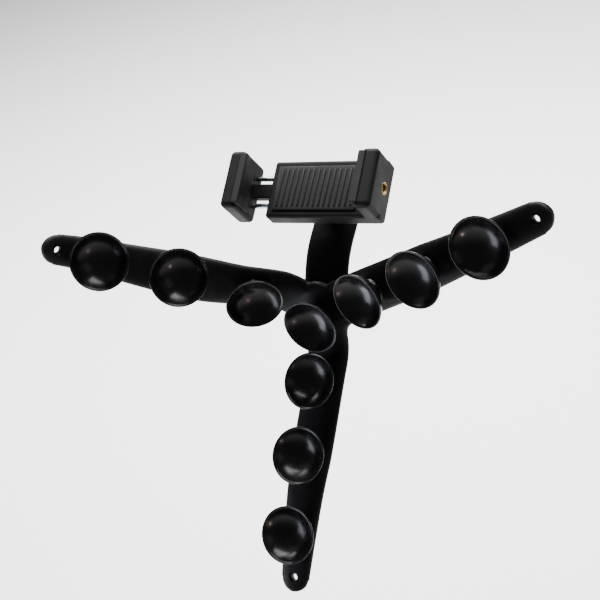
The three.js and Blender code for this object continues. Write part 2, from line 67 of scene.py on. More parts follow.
camera = {
    "position": (319.1, -487.8, 348.1),  # mm
    "looking": (-0.4792, 0.7272, -0.4915),
    "up": (-0.0981, 0.5121, 0.8533),
    "fieldOfView": 28.15,  # degrees
}
studio = {
    "floorDrop": 0.5,  # m below the lowest tip: the mount is held up in the air
    "floorSize": 14,
    "floorColour": "#f4f4f3",
    "worldColour": "#ffffff",
    "worldStrength": 0.3,
    "lamps": [  # name, place, aimed at, width, height, watts, colour
        ("sideBox", (-0.4, -0.36, -0.24), (0, 0, -0.02), 0.26, 0.5, 5, "#eef2ff"),  # band in each cup
        ("spark", (0.42, -0.3, -0.29), (0, 0, 0), 0.03, 0.08, 0.5, "#ffdcd0"),  # the glint beside it
        ("keyBox", (-0.9, 0.1, 1.3), (0, 0, 0), 1.4, 1.0, 3, "#ffffff"),
        ("rightBox", (1.1, -0.1, 0.5), (0, 0, 0), 0.5, 0.7, 0.8, "#ffffff"),
        ("floorBox", (-0.4, 1.0, 1.3), (-0.4, 1.0, -0.3), 2.2, 1.8, 230, "#ffffff"),
    ],
}


def linear(hexColour):
    channels = [int(hexColour[i:i + 2], 16) / 255 for i in (1, 3, 5)]
    return [c / 12.92 if c <= 0.04045 else ((c + 0.055) / 1.055) ** 2.4 for c in channels] + [1]


def addNode(tree, kind, settings=None, links=None):
    node = tree.nodes.new(kind)
    for key, value in (settings or {}).items():
        if isinstance(key, int) or key in node.inputs:
            node.inputs[key].default_value = value
        else:
            setattr(node, key, value)
    for key, socket in (links or {}).items():
        tree.links.new(socket, node.inputs[key])
    return node


def placeCamera():
    lens = bpy.data.cameras.new("viewCamera")
    lens.angle = math.radians(camera["fieldOfView"])
    lens.clip_start = 0.01
    back = -Vector(camera["looking"]).normalized()
    right = Vector(camera["up"]).cross(back).normalized()
    up = back.cross(right)
    viewer = bpy.data.objects.new("viewCamera", lens)
    viewer.matrix_world = Matrix.Translation(Vector(camera["position"]) * mm) @ Matrix(
        (right, up, back)).transposed().to_4x4()
    bpy.context.scene.collection.objects.link(viewer)
    bpy.context.scene.camera = viewer


def lightStudio():
    world = bpy.data.worlds.new("studio")
    bpy.context.scene.world = world
    world.use_nodes = True
    background = world.node_tree.nodes["Background"]
    background.inputs["Color"].default_value = linear(studio["worldColour"])
    background.inputs["Strength"].default_value = studio["worldStrength"]
    for name, place, aim, width, height, watts, colour in studio["lamps"]:
        lamp = bpy.data.lights.new(name, "AREA")
        lamp.shape = "RECTANGLE"
        lamp.size = width
        lamp.size_y = height
        lamp.energy = watts
        lamp.color = linear(colour)[:3]
        holder = bpy.data.objects.new(name, lamp)
        holder.location = place
        holder.rotation_euler = (Vector(aim) - Vector(place)).to_track_quat("-Z", "Y").to_euler()
        bpy.context.scene.collection.objects.link(holder)


def layFloor():
    half = studio["floorSize"] / 2
    low = cadBox[0].z - studio["floorDrop"]
    mesh = bpy.data.meshes.new("studioFloor")
    mesh.from_pydata([(-half, -half, low), (half, -half, low), (half, half, low), (-half, half, low)],
                     [], [(0, 1, 2, 3)])
    floor = bpy.data.objects.new("studioFloor", mesh)
    bpy.context.scene.collection.objects.link(floor)
    paper = bpy.data.materials.new("paperRollMatt")  # seamless paper: even, no sheen
    paper.use_nodes = True
    shader = paper.node_tree.nodes["Principled BSDF"]
    shader.inputs["Base Color"].default_value = linear(studio["floorColour"])
    shader.inputs["Roughness"].default_value = 0.9
    mesh.materials.append(paper)


finishes = {
    # pressed silicone, satin from the mould: soft broad highlights, a little dust
    "siliconeStrapMoulded": {
        "colour": "#0c0c0d", "dust": "#1c1c1e", "roughness": (0.38, 0.54), "ior": 1.43, "specular": 0.08,
        "grain": 0.25, "bump": 0.05, "cloud": 9, "speck": 0.7, "speckShare": 0.035,
    },
    # the same silicone pressed on a polished core: glossy bowls with clear reflections
    "siliconeCupPolished": {
        "colour": "#08080a", "dust": "#18181a", "roughness": (0.17, 0.3), "ior": 1.43, "specular": 0.22,
        "grain": 0.6, "bump": 0.03, "cloud": 7, "speck": 0.6, "speckShare": 0.03,
    },
    # injection-moulded ABS from a spark-eroded mould: dull, with a fine even grain
    "absSparkTextured": {
        "colour": "#0c0c0d", "dust": "#1a1a1b", "roughness": (0.42, 0.56), "ior": 1.5, "specular": 0.07,
        "grain": 0.35, "bump": 0.16, "cloud": 14, "speck": 0.5, "speckShare": 0.015,
    },
    # compression-moulded rubber: darkest and least shiny, grips the phone
    "rubberPadMoulded": {
        "colour": "#0b0b0c", "dust": "#1a1a1b", "roughness": (0.5, 0.68), "ior": 1.5, "specular": 0.15,
        "grain": 0.3, "bump": 0.12, "cloud": 8, "speck": 0.5, "speckShare": 0.03,
    },
}
metals = {
    # lathe-turned brass, left bare: warm, with fine turning rings
    "brassTurned": {"colour": "#b48d52", "dark": "#6b5230", "roughness": (0.22, 0.4), "ring": 0.18},
    # bright zinc plate on steel: cool grey, slightly cloudy
    "steelZincPlated": {"colour": "#a9adb0", "dark": "#7c8083", "roughness": (0.22, 0.36), "ring": 0.3},
    # drawn spring wire, oiled: darker, even
    "springWireDrawn": {"colour": "#8c8f92", "dark": "#5e6062", "roughness": (0.2, 0.32), "ring": 0.2},
}


def mouldedMaterial(name):
    finish = finishes[name]
    material = bpy.data.materials.new(name)
    material.use_nodes = True
    tree = material.node_tree
    shader = tree.nodes["Principled BSDF"]
    shader.inputs["IOR"].default_value = finish["ior"]
    shader.inputs["Specular IOR Level"].default_value = finish["specular"]
    place = addNode(tree, "ShaderNodeTexCoord").outputs["Object"]
    cloud = addNode(tree, "ShaderNodeTexNoise", {
        "Scale": 1 / (finish["cloud"] * mm), "Detail": 4, "Roughness": 0.6,
    }, {"Vector": place})
    # dust specks are drawn about twice their real size, so that they show
    speck = addNode(tree, "ShaderNodeTexNoise", {
        "Scale": 1 / (finish["speck"] * mm), "Detail": 1, "Roughness": 0.4,
    }, {"Vector": place})
    speckMask = addNode(tree, "ShaderNodeMapRange", {
        "From Min": 0.78 - finish["speckShare"], "From Max": 0.8, "To Max": 0.75,
    }, {"Value": speck.outputs["Fac"]})
    tone = addNode(tree, "ShaderNodeMapRange", {
        "From Min": 0.35, "From Max": 0.7, "To Max": 0.3,
    }, {"Value": cloud.outputs["Fac"]})
    share = addNode(tree, "ShaderNodeMath", {"operation": "MAXIMUM"}, {
        0: tone.outputs["Result"], 1: speckMask.outputs["Result"],
    })
    colour = addNode(tree, "ShaderNodeMix", {
        "data_type": "RGBA", 6: linear(finish["colour"]), 7: linear(finish["dust"]),
    }, {0: share.outputs[0]})
    tree.links.new(colour.outputs[2], shader.inputs["Base Color"])
    rough = addNode(tree, "ShaderNodeMapRange", {
        "From Min": 0.3, "From Max": 0.7,
        "To Min": finish["roughness"][0], "To Max": finish["roughness"][1],
    }, {"Value": cloud.outputs["Fac"]})
    tree.links.new(rough.outputs["Result"], shader.inputs["Roughness"])
    grain = addNode(tree, "ShaderNodeTexNoise", {
        "Scale": 1 / (finish["grain"] * mm), "Detail": 3,
    }, {"Vector": place})
    bump = addNode(tree, "ShaderNodeBump", {
        "Strength": finish["bump"], "Distance": 0.2 * mm,
    }, {"Height": grain.outputs["Fac"]})
    tree.links.new(bump.outputs["Normal"], shader.inputs["Normal"])
    return material


def metalMaterial(name):
    finish = metals[name]
    material = bpy.data.materials.new(name)
    material.use_nodes = True
    tree = material.node_tree
    shader = tree.nodes["Principled BSDF"]
    shader.inputs["Metallic"].default_value = 1
    place = addNode(tree, "ShaderNodeTexCoord").outputs["Object"]
    cloud = addNode(tree, "ShaderNodeTexNoise", {"Scale": 1 / (2 * mm), "Detail": 4}, {"Vector": place})
    colour = addNode(tree, "ShaderNodeMix", {
        "data_type": "RGBA", 6: linear(finish["dark"]), 7: linear(finish["colour"]),
    }, {0: cloud.outputs["Fac"]})
    tree.links.new(colour.outputs[2], shader.inputs["Base Color"])
    rough = addNode(tree, "ShaderNodeMapRange", {
        "From Min": 0.3, "From Max": 0.7,
        "To Min": finish["roughness"][0], "To Max": finish["roughness"][1],
    }, {"Value": cloud.outputs["Fac"]})
    tree.links.new(rough.outputs["Result"], shader.inputs["Roughness"])
    rings = addNode(tree, "ShaderNodeTexNoise", {
        "Scale": 1 / (finish["ring"] * mm), "Detail": 2,
    }, {"Vector": place})
    bump = addNode(tree, "ShaderNodeBump", {
        "Strength": 0.12, "Distance": 0.05 * mm,
    }, {"Height": rings.outputs["Fac"]})
    tree.links.new(bump.outputs["Normal"], shader.inputs["Normal"])
    return material


def makeMaterials():
    made = {name: mouldedMaterial(name) for name in finishes}
    made.update({name: metalMaterial(name) for name in metals})
    return made


edges = {
    "bevelFrom": 38,  # degrees between faces at which an edge is rounded
    "sharpFrom": 32,
    "flatFace": 6,  # square mm above which a face is shaded flat
}


def bareObject(name, mesh):
    piece = bpy.data.objects.new(name, mesh)
    bpy.context.scene.collection.objects.link(piece)
    return piece


def newPiece(name, mesh, material, place=None):
    if not mesh.materials:
        mesh.materials.append(materials[material])
    if place is not None:
        mesh.transform(place)
    piece = bareObject(name, mesh)
    return piece


def cleanMesh(mesh, merge=0, thin=0):
    # merge and thin are in metres
    work = bmesh.new()
    work.from_mesh(mesh)
    if merge:
        bmesh.ops.remove_doubles(work, verts=work.verts, dist=merge)
    if thin:
        bmesh.ops.dissolve_degenerate(work, edges=work.edges, dist=thin)
    bmesh.ops.recalc_face_normals(work, faces=work.faces)
    work.to_mesh(mesh)
    work.free()
    mesh.shade_smooth()
    return mesh


def meshOf(name, points, faces, merge=0, thin=0):
    mesh = bpy.data.meshes.new(name)
    mesh.from_pydata([Vector(p) * mm for p in points], [], faces)
    return cleanMesh(mesh, merge, thin)


def sharpenFrom(mesh, angle):
    mesh.shade_smooth()
    mesh.set_sharp_from_angle(angle=math.radians(angle))


def tubeFaces(rows, around, capStart=False, capEnd=False):
    faces = []
    for row in range(rows - 1):
        low, high = row * around, (row + 1) * around
        for i in range(around):
            j = (i + 1) % around
            faces.append((low + i, low + j, high + j, high + i))
    if capStart:
        faces.append(tuple(range(around)))
    if capEnd:
        faces.append(tuple((rows - 1) * around + i for i in range(around)))
    return faces


def lathe(name, profile, sides, threadOn=None):
    # profile of (radius, height) about Z; threadOn gives a radius change by height and turn
    points = []
    for radius, height in profile:
        for side in range(sides):
            turn = 2 * math.pi * side / sides
            r = radius + (threadOn(radius, height, turn) if threadOn else 0)
            points.append((r * math.cos(turn), r * math.sin(turn), height))
    mesh = meshOf(name, points, tubeFaces(len(profile), sides))
    if profile[0][0] < 1e-6 or profile[-1][0] < 1e-6:
        cleanMesh(mesh, merge=1e-7)  # joins the points that meet on the axis
    return mesh


def arc(centre, radius, start, end, count):
    return [(centre[0] + radius * math.cos(math.radians(start + (end - start) * i / count)),
             centre[1] + radius * math.sin(math.radians(start + (end - start) * i / count)))
            for i in range(count + 1)]


def solidBox(name, low, high, radius=0.0, segments=4):
    work = bmesh.new()
    bmesh.ops.create_cube(work, size=1)
    size = [high[i] - low[i] for i in range(3)]
    for vert in work.verts:
        vert.co = Vector([(low[i] + high[i]) / 2 + vert.co[i] * size[i] for i in range(3)]) * mm
    if radius:
        bmesh.ops.bevel(work, geom=list(work.edges), offset=radius * mm, segments=segments,
                        profile=0.5, affect="EDGES")
    return workObject(name, work)


def workObject(name, work):
    mesh = bpy.data.meshes.new(name)
    work.to_mesh(mesh)
    work.free()
    return bareObject(name, mesh)


def solidRod(name, radius, low, high, axis, centre=(0, 0, 0), sides=40):
    work = bmesh.new()
    bmesh.ops.create_cone(work, cap_ends=True, segments=sides, radius1=radius * mm,
                          radius2=radius * mm, depth=(high - low) * mm)
    shift = Matrix.Translation((0, 0, (low + high) / 2 * mm))
    turn = {"x": Matrix.Rotation(math.pi / 2, 4, "Y"), "y": Matrix.Rotation(-math.pi / 2, 4, "X"),
            "z": Matrix.Identity(4)}[axis]
    work.transform(Matrix.Translation(Vector(centre) * mm) @ turn @ shift)
    return workObject(name, work)


def combine(piece, other, operation):
    modifier = piece.modifiers.new("shape", "BOOLEAN")
    modifier.object = other
    modifier.operation = operation
    modifier.solver = "EXACT"
    applyModifiers(piece)
    bpy.data.objects.remove(other)
    return piece


def applyModifiers(piece):
    bpy.context.view_layer.update()
    shaped = piece.evaluated_get(bpy.context.evaluated_depsgraph_get())
    mesh = bpy.data.meshes.new_from_object(shaped)
    piece.modifiers.clear()
    piece.data = mesh


def softenEdges(piece, width, segments=2):
    modifier = piece.modifiers.new("edge", "BEVEL")
    modifier.width = width * mm
    modifier.segments = segments
    modifier.limit_method = "ANGLE"
    modifier.angle_limit = math.radians(edges["bevelFrom"])
    modifier.use_clamp_overlap = True
    applyModifiers(piece)
    sharpenFrom(piece.data, edges["sharpFrom"])
    for face in piece.data.polygons:  # wide faces stay flat right up to their rounded edges
        if face.area > edges["flatFace"] * mm * mm:
            face.use_smooth = False


def finishPiece(piece, material, place):
    piece.data.materials.clear()
    piece.data.materials.append(materials[material])
    piece.data.transform(place)


def fitPieces(pieces, place):
    for piece, material, node, body in pieces:
        finishPiece(piece, material, place)
        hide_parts(node)
        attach(piece, body)


# the same arms and neck as the frame, in mm and degrees
layout = {
    "cupHeight": 17.3, "hubReach": 24.5, "firstPitch": 46.3, "cupPitch": 43.2,
    "tipHole": 26.4, "tipEdge": 8.5, "curlStart": 7, "curlLength": 13,
    "rootLean": 26, "rootStart": -6, "rootReach": 18.4,  # the neck leaves the hub's back
    "neckBends": (0, 25.7), "neckLower": 20.5, "neckUpper": 27, "neckEnd": 13.4,
    "standoff": 37.4, "swivel": -3.9, "studOffset": 5.7,
    "firstEase": 9, "nextEase": 13, "neckEase": (8, 11),  # mm each side over which a bend is eased
}
arms = {
    "left": {"azimuth": 150, "bends": (-36, 8.5, 4), "twists": (7.5, 29, -2), "curl": -29},
    "right": {"azimuth": 30, "bends": (-11, 5, 8), "twists": (-8.5, 1, -4.5), "curl": 1},
    "lower": {"azimuth": -90, "bends": (-40.5, -1, 7.5), "twists": (4, -4, -2), "curl": 1},
}
places = ("inner", "middle", "outer")
armAngles = [arm["azimuth"] for arm in arms.values()]
hubPlace = Matrix.Translation((0, layout["cupHeight"], 0)) @ Matrix.Rotation(math.pi / 2, 4, "X")


def along(distance):
    return Matrix.Translation((distance, 0, 0))


def turnY(angle):
    return Matrix.Rotation(math.radians(angle), 4, "Y")


def turnX(angle):
    return Matrix.Rotation(math.radians(angle), 4, "X")


def rootFrame(azimuth):
    # X out along the strap, Z towards the cups
    x = Vector((math.cos(math.radians(azimuth)), 0, math.sin(math.radians(azimuth))))
    z = Vector((0, -1, 0))
    y = z.cross(x)
    turn = Matrix((x, y, z)).transposed().to_4x4()
    return Matrix.Translation((0, layout["cupHeight"], 0)) @ turn


def spanFrames(start, length, hinge, bend, twist, ease, step=1.3):
    # frames from one station to the next, with the bend eased over both sides of the hinge
    count = max(2, round(length / step))
    frames = []
    inside = min(ease, hinge, length - hinge)
    for i in range(count + 1):
        s = length * i / count
        share = s / length
        lean = turnX(twist * share * share * (3 - 2 * share))
        if s <= hinge - inside:
            frames.append(start @ along(s) @ lean)
        elif s >= hinge + inside:
            frames.append(start @ along(hinge) @ turnY(bend) @ along(s - hinge) @ lean)
        else:
            u = (s - hinge + inside) / (2 * inside)
            before = Vector((hinge - inside, 0, 0))
            middle = Vector((hinge, 0, 0))
            after = (along(hinge) @ turnY(bend) @ along(inside)).to_translation()
            point = before * (1 - u) ** 2 + middle * 2 * u * (1 - u) + after * u * u
            run = (middle - before) * (1 - u) + (after - middle) * u
            angle = math.degrees(math.atan2(-run.z, run.x))
            frames.append(start @ Matrix.Translation(point) @ turnY(angle) @ lean)
    return frames


def buildLayout():
    stations = {}
    spans = []
    for armName, arm in arms.items():
        here = rootFrame(arm["azimuth"])
        body = "hub"
        for index, place in enumerate(places):
            length = layout["firstPitch"] if index == 0 else layout["cupPitch"]
            hinge = layout["hubReach"] if index == 0 else length / 2
            bend = arm["bends"][index]
            twist = arm["twists"][index]
            ease = layout["firstEase"] if index == 0 else layout["nextEase"]
            path = spanFrames(here, length, hinge, bend, twist, ease)
            corner = here @ along(hinge)
            name = f"{armName}_{place}"
            spans.append({
                "name": name, "from": body, "to": name,
                "path": path, "hinge": corner, "bent": corner @ turnY(bend),
                "distance": 0 if index == 0 else layout["firstPitch"] + layout["cupPitch"] * (index - 1),
                "length": length,
            })
            here = corner @ turnY(bend) @ turnX(twist) @ along(length - hinge)
            body = name
            stations[name] = here
    start = Matrix.Translation((0, 0, layout["rootStart"]))
    neckRoot = start @ rootFrame(90) @ turnY(layout["rootLean"])
    first, second = layout["neckBends"]
    firstEase, secondEase = layout["neckEase"]
    half = layout["neckLower"] / 2
    corner = neckRoot @ along(layout["rootReach"])
    lowerPath = spanFrames(neckRoot, layout["rootReach"] + half, layout["rootReach"], first, 0,
                           firstEase)
    midway = corner @ turnY(first) @ along(half)
    upperPath = spanFrames(midway, half + layout["neckUpper"], half, second, 0, secondEase)
    upperCorner = midway @ along(half)
    stations["neck_end"] = upperCorner @ turnY(second) @ along(layout["neckUpper"])
    spans.append({"name": "neck_lower", "from": "hub", "to": "neck_lower", "path": lowerPath,
                  "hinge": corner, "bent": corner @ turnY(first)})
    spans.append({"name": "neck_upper", "from": "neck_lower", "to": "neck_upper", "path": upperPath,
                  "hinge": upperCorner, "bent": upperCorner @ turnY(second)})
    turned = Matrix(((0, 0, 1), (-1, 0, 0), (0, -1, 0))).to_4x4()  # clamp axes in the neck's end
    stations["clamp"] = stations["neck_end"] @ turned @ turnY(layout["swivel"]) @ Matrix.Translation(
        (-layout["studOffset"], -layout["standoff"], 0))
    return stations, spans


def inMetres(matrix):
    scaled = matrix.copy()
    scaled.translation = matrix.translation * mm
    return scaled


strap = {
    "thickness": 8, "tipThickness": 6.2, "neckWidth": 27.6,
    "widths": ((0, 27.6), (46.3, 26.7), (89.5, 25.6), (132.7, 20.4), (167.6, 16.6)),
    "fullness": 0.82,  # below 1 the section is fuller than an ellipse
    "around": 40,
    "wireRadius": 1.2, "wireDepth": 1.5,
    "wireSides": 14, "tipWire": (3, 6, 9, 12, 15),  # the wire's last points past the last cup
    "wireStop": 9,  # the neck's wire ends this far short of the stud
    "hingeReach": 14, "neckHingeReach": 10,  # mm each side of a hinge
    "studHole": 3.4, "endRings": 14,
}


def strapWidth(distance):
    stops = strap["widths"]
    for (a, wideA), (b, wideB) in zip(stops, stops[1:]):
        if distance <= b:
            return wideA + (wideB - wideA) * (distance - a) / (b - a)
    return stops[-1][1]


def sectionPoints(width, thickness):
    points = []
    for i in range(strap["around"]):
        turn = 2 * math.pi * i / strap["around"]
        c, s = math.cos(turn), math.sin(turn)
        y = width / 2 * math.copysign(abs(c) ** strap["fullness"], c)
        z = thickness / 2 * math.copysign(abs(s) ** strap["fullness"], s)
        points.append((0, y, z))
    return points


def loft(name, rings, capEnd=False):
    # rings of (frame, width, thickness)
    points = []
    for place, width, thickness in rings:
        points += [place @ Vector(p) for p in sectionPoints(width, thickness)]
    return meshOf(name, points, tubeFaces(len(rings), strap["around"], capEnd=capEnd))


def endThickness(share):
    # a rounded end thins only close to its tip
    return min(1, 0.35 + 0.9 * share ** 0.7)


def curledFrame(place, distance, angle):
    # the tip curls smoothly past the last cup
    past = distance - layout["curlStart"]
    if past <= 0:
        return place @ along(distance)
    bent = min(past, layout["curlLength"])
    rate = math.radians(angle) / layout["curlLength"]
    turn = bent * rate
    x = math.sin(turn) / rate + (past - bent) * math.cos(turn)
    z = (math.cos(turn) - 1) / rate - (past - bent) * math.sin(turn)
    shift = Matrix.Translation((layout["curlStart"] + x, 0, z))
    return place @ shift @ turnY(math.degrees(turn))


def tipRings(station, angle):
    # from the last cup to the rounded end
    end = layout["tipHole"] + layout["tipEdge"]
    radius = strap["widths"][-1][1] / 2
    lastCup = layout["firstPitch"] + 2 * layout["cupPitch"]
    straight = end - radius
    rings = []
    count = 22
    for i in range(1, count + 1):
        x = straight * i / count
        thick = strap["thickness"] + (strap["tipThickness"] - strap["thickness"]) * x / end
        rings.append((curledFrame(station, x, angle), strapWidth(lastCup + x), thick))
    for i in range(1, 13):
        turn = math.pi / 2 * i / 12.3
        x = straight + radius * math.sin(turn)
        share = math.cos(turn)
        thick = strap["tipThickness"] * endThickness(share)
        rings.append((curledFrame(station, x, angle), 2 * radius * share, thick))
    return rings


tip = {"hole": 1.9, "flare": 0.9}


def drillTip(piece, place):
    # the hole's edges are rounded, so its cutter flares at both faces
    flare = [(0, -7), (4.4, -7), (3.4, -3.6)]
    for share, level in ((0.9, -3.1), (0.6, -2.6), (0.3, -2.0), (0, -1.2)):
        flare.append((tip["hole"] + tip["flare"] * (1 - math.cos(share * math.pi / 2)), level))
    profile = flare + [(r, -z) for r, z in reversed(flare)]
    cutter = bareObject("tipDrill", lathe("tipDrill", profile, 40))
    cutter.data.transform(inMetres(place))
    combine(piece, cutter, "DIFFERENCE")
    sharpenFrom(piece.data, 40)


def wireSkin(span, extra=()):
    count = strap["wireSides"]
    points = []
    rings = list(span["path"]) + list(extra)
    for place in rings:
        for i in range(count):
            turn = 2 * math.pi * i / count
            points.append(place @ Vector((0, strap["wireRadius"] * math.cos(turn),
                                          strap["wireRadius"] * math.sin(turn) - strap["wireDepth"])))
    return meshOf(span["name"] + "_wire", points, tubeFaces(len(rings), count, True, True))


def bendAtHinge(piece):
    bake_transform(piece)


def buildStraps():
    for span in spans:
        name = span["name"]
        path = span["path"]
        isNeck = name.startswith("neck")
        isTip = name.endswith("outer")
        isNeckEnd = name == "neck_upper"
        rings = []
        for i, place in enumerate(path):
            distance = 0 if isNeck else span["distance"] + span["length"] * i / (len(path) - 1)
            width = strap["neckWidth"] if isNeck else strapWidth(distance)
            rings.append((place, width, strap["thickness"]))
        wireRest = []
        if isTip:
            curl = arms[name.split("_")[0]]["curl"]
            rings += tipRings(stations[name], curl)
            wireRest = [curledFrame(stations[name], x, curl) for x in strap["tipWire"]]
        if isNeckEnd:
            count = strap["endRings"]
            for i in range(1, count + 1):
                turn = math.pi / 2 * i / (count + 0.3)  # stops just short of the very end
                share = math.cos(turn)
                rings.append((path[-1] @ along(layout["neckEnd"] * math.sin(turn)),
                              strap["neckWidth"] * share, strap["thickness"] * endThickness(share)))
        skin = loft(name + "_strap", rings, isTip or isNeckEnd)
        piece = newPiece(name + "_strap", skin, "siliconeStrapMoulded")
        if isTip:
            drillTip(piece, curledFrame(stations[name], layout["tipHole"], curl))
        if isNeckEnd:
            hole = solidRod("studHole", strap["studHole"], -8, 8, "z")
            hole.data.transform(inMetres(stations["neck_end"]))
            combine(piece, hole, "DIFFERENCE")
            sharpenFrom(piece.data, 40)
        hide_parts(name if isNeck else name + "_arm")
        bendAtHinge(piece)
        if isNeckEnd:
            studAt = stations["neck_end"].translation
            span = dict(span, path=[place for place in path
                                    if (place.translation - studAt).length > strap["wireStop"]])
        wire = newPiece(name + "_wire", wireSkin(span, wireRest), "steelZincPlated")
        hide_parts(name + "_core_wire")
        bendAtHinge(wire)


hub = {
    "reach": 15.6,  # how far the joined skin goes along each strap
    "fade": 4,  # over which it turns into the bare strap
    "armWire": 10, "rootWire": 8.5,  # the wire's legs stop where the silicone starts to bend
    "wireDisc": 3, "wireStart": 0.3,
    "topFill": 1.1, "sideFill": 3,  # smaller fills the corners between straps more
    "rings": 26, "around": 240,
}


def hubHeight(x, y):
    # half thickness of the joined straps, their corners filled smoothly
    shares = []
    nearest = 99
    for azimuth in armAngles:
        c, s = math.cos(math.radians(azimuth)), math.sin(math.radians(azimuth))
        out, side = x * c + y * s, -x * s + y * c
        nearest = min(nearest, hub["reach"] - out)
        across = abs(side) if out > 0 else math.hypot(out, side)
        shares.append(1 - (2 * across / strapWidth(max(out, 0))) ** (2 / strap["fullness"]))
    fill = hub["topFill"] if y > abs(x) * math.tan(math.radians(30)) else hub["sideFill"]
    joined = math.log(sum(math.exp(fill * full) for full in shares)) / fill
    fade = max(0, min(1, nearest / hub["fade"]))
    fade = fade * fade * (3 - 2 * fade)
    inside = min(1, joined) * fade + (max(shares) - 0.03) * (1 - fade)
    return strap["thickness"] / 2 * inside ** (strap["fullness"] / 2) if inside > 0 else -1


def hubEdge(turn):
    low = 0
    high = min(hub["reach"] / math.cos(turn - math.radians(a)) for a in armAngles
               if math.cos(turn - math.radians(a)) > 0.2)
    if hubHeight(high * math.cos(turn), high * math.sin(turn)) > 0:
        return high
    for _ in range(30):
        middle = (low + high) / 2
        if hubHeight(middle * math.cos(turn), middle * math.sin(turn)) > 0:
            low = middle
        else:
            high = middle
    return low


def hubSkin():
    around, rings = hub["around"], hub["rings"]
    points = [(0, 0, hubHeight(0, 0)), (0, 0, -hubHeight(0, 0))]
    rows = [[], []]
    edges = [hubEdge(2 * math.pi * i / around) for i in range(around)]
    for side, sign in enumerate((1, -1)):
        for ring in range(1, rings + 1):
            row = []
            for i in range(around):
                turn = 2 * math.pi * i / around
                r = edges[i] * math.sin(math.pi / 2 * ring / rings)
                row.append(len(points))
                height = max(0, hubHeight(r * math.cos(turn), r * math.sin(turn)))
                points.append((r * math.cos(turn), r * math.sin(turn), sign * height))
            rows[side].append(row)
    faces = []
    for side in (0, 1):
        for i in range(around):
            j = (i + 1) % around
            faces.append((side, rows[side][0][i], rows[side][0][j]))
            for ring in range(rings - 1):
                faces.append((rows[side][ring][i], rows[side][ring][j],
                              rows[side][ring + 1][j], rows[side][ring + 1][i]))
    for i in range(around):
        j = (i + 1) % around
        faces.append((rows[0][-1][i], rows[0][-1][j], rows[1][-1][j], rows[1][-1][i]))
    return meshOf("hub_skin", points, faces, merge=0.02 * mm, thin=0.001 * mm)


def buildHub():
    place = inMetres(hubPlace)
    piece = newPiece("hub_skin", hubSkin(), "siliconeStrapMoulded", place)
    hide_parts("hub_body")
    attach(piece, "hub")
    depth, radius = strap["wireDepth"], strap["wireRadius"]
    lean = Matrix.Rotation(math.radians(-layout["rootLean"]), 4, "X")
    wire = solidRod("hub_wire", hub["wireDisc"], -depth - radius, -depth + radius, "z")
    for azimuth in armAngles + [90]:
        isRoot = azimuth == 90
        reach = hub["rootWire"] if isRoot else hub["armWire"]
        leg = solidRod("wireLeg", radius, hub["wireStart"], reach, "x", (0, 0, -depth), 24)
        leg.data.transform(Matrix.Rotation(math.radians(azimuth), 4, "Z"))
        if isRoot:
            leg.data.transform(Matrix.Translation((0, layout["rootStart"] * mm, 0)) @ lean)
        combine(wire, leg, "UNION")
    finishPiece(wire, "steelZincPlated", place)
    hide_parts("hub_core_wire")
    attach(wire, "hub")


cup = {
    "rimRadius": 16.5, "height": 17.3, "wall": 0.8, "depth": 9.6, "outerDepth": 11.6,
    "foot": ((7.9, 2.9), (7.5, 3.6), (7.1, 4.3)), "stem": 6.7,  # (radius, height)
    "sides": 96,
}


def bowlCurve(radius, depth, low, high, count):
    # part of a ball cap, as (radius, drop below the rim)
    ball = (radius * radius + depth * depth) / (2 * depth)
    steepest = math.asin(min(1, radius / ball))
    return [(ball * math.sin(steepest * t), depth - ball * (1 - math.cos(steepest * t)))
            for t in [low + (high - low) * i / count for i in range(count + 1)]]


def cupProfile():
    top, rim = cup["height"], cup["rimRadius"]
    inner = rim - cup["wall"]
    outer = [(r, top - drop) for r, drop in bowlCurve(rim, cup["outerDepth"], 0.42, 0.985, 20)]
    waist = outer[0]
    foot = list(cup["foot"])
    foot += [(cup["stem"], (foot[-1][1] + waist[1]) / 2), (cup["stem"] + 0.05, waist[1] - 0.5)]
    lip = arc((rim - cup["wall"] / 2, top - cup["wall"] / 2), cup["wall"] / 2, -20, 200, 10)
    bowl = [(r, top - drop) for r, drop in reversed(bowlCurve(inner, cup["depth"], 0, 0.97, 26))]
    return foot + outer + lip + bowl


def buildCups():
    mesh = lathe("suctionCup", cupProfile(), cup["sides"])
    mesh.materials.append(materials["siliconeCupPolished"])
    centres = {"hub": hubPlace}
    centres.update({name: place for name, place in stations.items() if name.split("_")[-1] in places})
    for name, place in centres.items():
        piece = newPiece(name + "_suctionCup", mesh.copy(), "siliconeCupPolished", inMetres(place))
        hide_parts(name + "_cup")
        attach(piece, name)


# in mm: X across the phone, Y away from its back, Z along it
clamp = {
    "opening": 71.4, "closed": 60, "jaw": 10.8, "height": 35, "front": -9, "hook": 1,
    "baseFront": 6, "baseBack": 14, "coverFront": 14.3, "coverBack": 16.3, "bossBack": 20.3,
    "jawRound": 2.8, "baseRound": 1.8, "phoneThickness": 8.1,
    "padThickness": 1.7, "padStrip": 4.3, "padDepth": 3.1, "padProud": 0.6, "padHeight": 31,
    "rodRadius": 1.5, "rodSpread": 8.5, "rodLevel": 11, "rodEnd": 30,
    "insertRadius": 3.8, "insertBore": 2.8, "insertLength": 6, "sideInsertLevel": 7,
    "rodHead": 2.8, "threadPitch": 1.27, "threadDepth": 0.35,
    "screwColumns": (-18.5, 28), "screwSpread": 14.8,
    "sinkRadius": 2.3, "sinkDepth": 1.5, "bossRadius": 7,
    "gap": 0.3,  # around anything that slides or drops in
    "wall": 3, "cavityHalf": 12, "tongueHalf": (2.4, 4.5),  # the tongue's half depth and height
    "edge": 0.28, "coverEdge": 0.35, "padEdge": 0.9,
}
outside = 90  # well past the clamp, for trimming
gap = clamp["gap"]
jawIn = clamp["opening"] / 2
jawOut = jawIn + clamp["jaw"]
halfJaw = clamp["height"] / 2
